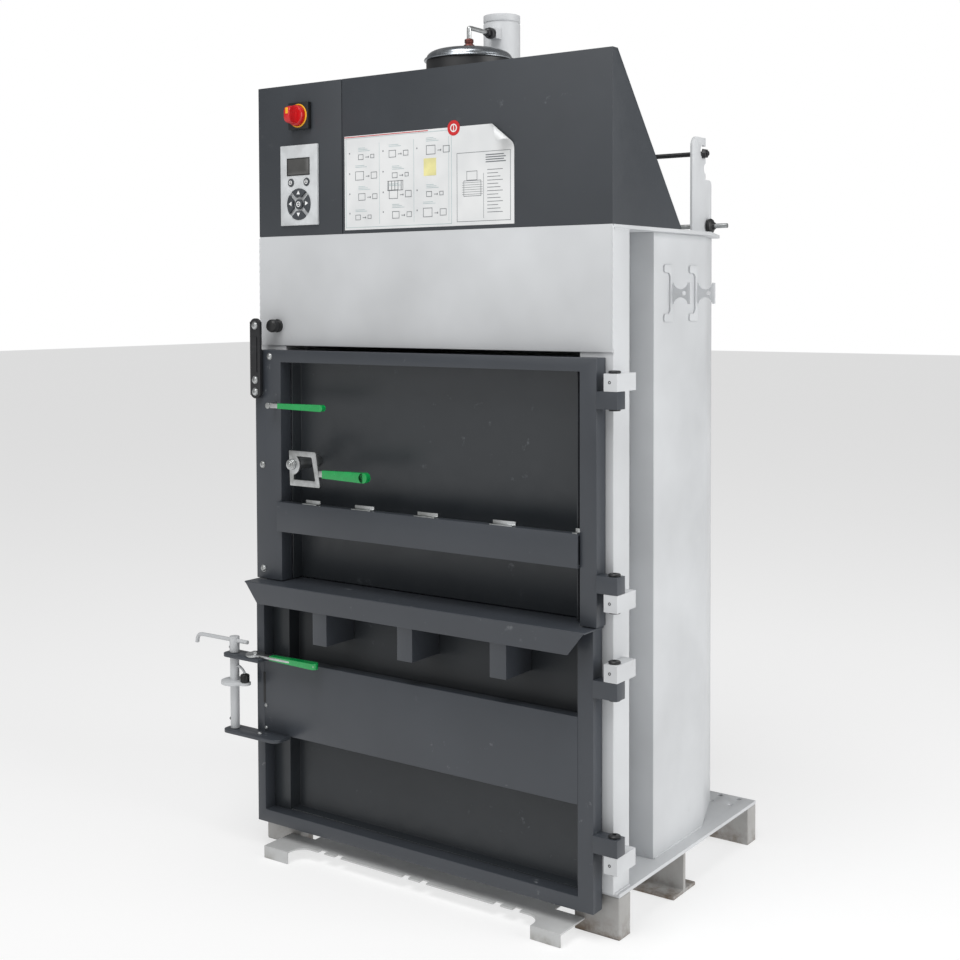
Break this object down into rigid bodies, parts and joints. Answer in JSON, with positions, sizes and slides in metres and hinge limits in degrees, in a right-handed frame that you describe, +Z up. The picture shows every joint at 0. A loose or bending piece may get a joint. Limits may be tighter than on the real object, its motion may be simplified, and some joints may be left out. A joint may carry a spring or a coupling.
{
  "type": "recycling baler",
  "caption": "Upright hydraulic baler for cardboard with two side-hung doors, sheet-metal hood, oil tank, strap holders and green-sleeved levers.",
  "frame": {"origin": "on the floor, in the middle of the machine's width, under the middle of the beam that carries the base plate", "axes": "+X to the right of someone who faces the doors, +Y towards the rear, +Z up"},
  "size_m": [1.178, 0.771, 1.985],
  "materials": {
    "dark_paint": "fine satin powder coat, dark grey",
    "light_paint": "satin powder coat, light grey",
    "zinc": "zinc-plated steel",
    "bare_steel": "ground steel",
    "chromed_rod": "hard chrome",
    "black_steel": "black",
    "spun_aluminium": "spun",
    "green_grip": "moulded plastic sleeve",
    "black_plastic": "moulded",
    "red_plastic": "moulded",
    "grey_plastic": "moulded"
  },
  "bodies": {
    "base": {"base_plate": "light_paint", "front_foot_left": "light_paint", "front_foot_right": "light_paint", "mid_beam": "light_paint", "rear_foot": "light_paint", "threshold_plate": "light_paint", "column_left": "light_paint", "column_right": "light_paint", "chamber_shell": "light_paint", "side_box_left": "light_paint", "side_box_right": "light_paint", "top_plate": "light_paint", "chamber_floor": "bare_steel", "header_panel": "light_paint", "hood_cover": "dark_paint", "cabinet_cover": "dark_paint", "switch_base": "black_plastic", "control_panel": "grey_plastic", "press_barrel": "light_paint", "oil_tank": "black_steel", "tank_dome": "spun_aluminium", "pressure_pipe": "black_steel", "strap_post_left": "light_paint", "strap_post_right": "light_paint", "strap_rod_upper": "black_steel", "strap_rod_lower": "bare_steel", "strap_hooks": "light_paint", "interlock_switch": "black_plastic", "hinge_blocks_fixed": "light_paint", "hinge_pins": "black_steel", "lock_keeper": "light_paint"},
    "ram": {"piston_rod": "chromed_rod", "press_platen": "light_paint"},
    "upper_door": {"upper_door_frame": "dark_paint", "upper_door_panel": "dark_paint", "upper_door_cross_rail": "dark_paint", "door_screws": "zinc", "latch_bolt": "zinc", "interlock_arm": "black_steel", "upper_door_hinge_leaves": "black_steel"},
    "pull_handle": {"pull_lever": "zinc", "pull_grip": "green_grip"},
    "latch_handle": {"latch_lever": "zinc", "latch_grip": "green_grip"},
    "lower_door": {"lower_door_frame": "dark_paint", "lower_door_panel": "dark_paint", "lower_door_wide_rail": "dark_paint", "lower_door_lip": "dark_paint", "lower_door_hinge_leaves": "black_steel", "lock_lugs": "black_steel"},
    "lock_shaft": {"lock_tube": "light_paint", "lock_roller": "black_steel", "lock_rod": "light_paint"},
    "lock_handle": {"lock_lever": "zinc", "lock_grip": "green_grip"},
    "main_switch": {"switch_knob": "red_plastic"},
    "menu_button": {"menu_key": "black_plastic"},
    "enter_button": {"enter_key": "black_plastic"},
    "arrow_button": {"arrow_pad": "black_plastic"},
    "stop_button": {"stop_key": "red_plastic"}
  },
  "joints": [
    {"name": "upper_door_hinge", "type": "hinge", "parent": "base", "child": "upper_door", "pos_m": [0.5025, -0.325, 0.92], "axis": [0, 0, 1], "range_deg": [0, 170]},
    {"name": "lower_door_hinge", "type": "hinge", "parent": "base", "child": "lower_door", "pos_m": [0.5025, -0.325, 0.37], "axis": [0, 0, 1], "range_deg": [0, 170]},
    {"name": "ram_stroke", "type": "slide", "parent": "base", "child": "ram", "axis": [0, 0, -1], "range_m": [0, 0.56]},
    {"name": "pull_handle_turn", "type": "hinge", "parent": "upper_door", "child": "pull_handle", "pos_m": [-0.407, -0.362, 1.068], "axis": [0, -1, 0], "range_deg": [0, 60]},
    {"name": "latch_handle_turn", "type": "hinge", "parent": "upper_door", "child": "latch_handle", "pos_m": [-0.336, -0.359, 0.934], "axis": [0, 1, 0], "range_deg": [0, 75]},
    {"name": "lock_shaft_turn", "type": "hinge", "parent": "lower_door", "child": "lock_shaft", "pos_m": [-0.527, -0.363, 0.37], "axis": [0, 0, 1], "range_deg": [-30, 60]},
    {"name": "lock_handle_turn", "type": "hinge", "parent": "lower_door", "child": "lock_handle", "pos_m": [-0.458, -0.363, 0.47], "axis": [0, 0, -1], "range_deg": [0, 90]},
    {"name": "main_switch_turn", "type": "hinge", "parent": "base", "child": "main_switch", "pos_m": [-0.349, -0.332, 1.744], "axis": [0, 1, 0], "range_deg": [0, 90]},
    {"name": "menu_press", "type": "slide", "parent": "base", "child": "menu_button", "axis": [0, 1, 0], "range_m": [0, 0.0012], "stiffness_N_per_m": 500},
    {"name": "enter_press", "type": "slide", "parent": "base", "child": "enter_button", "axis": [0, 1, 0], "range_m": [0, 0.0012], "stiffness_N_per_m": 500},
    {"name": "arrow_press", "type": "slide", "parent": "base", "child": "arrow_button", "axis": [0, 1, 0], "range_m": [0, 0.0012], "stiffness_N_per_m": 500},
    {"name": "stop_press", "type": "slide", "parent": "base", "child": "stop_button", "axis": [0, 1, 0], "range_m": [0, 0.0012], "stiffness_N_per_m": 500}
  ]
}
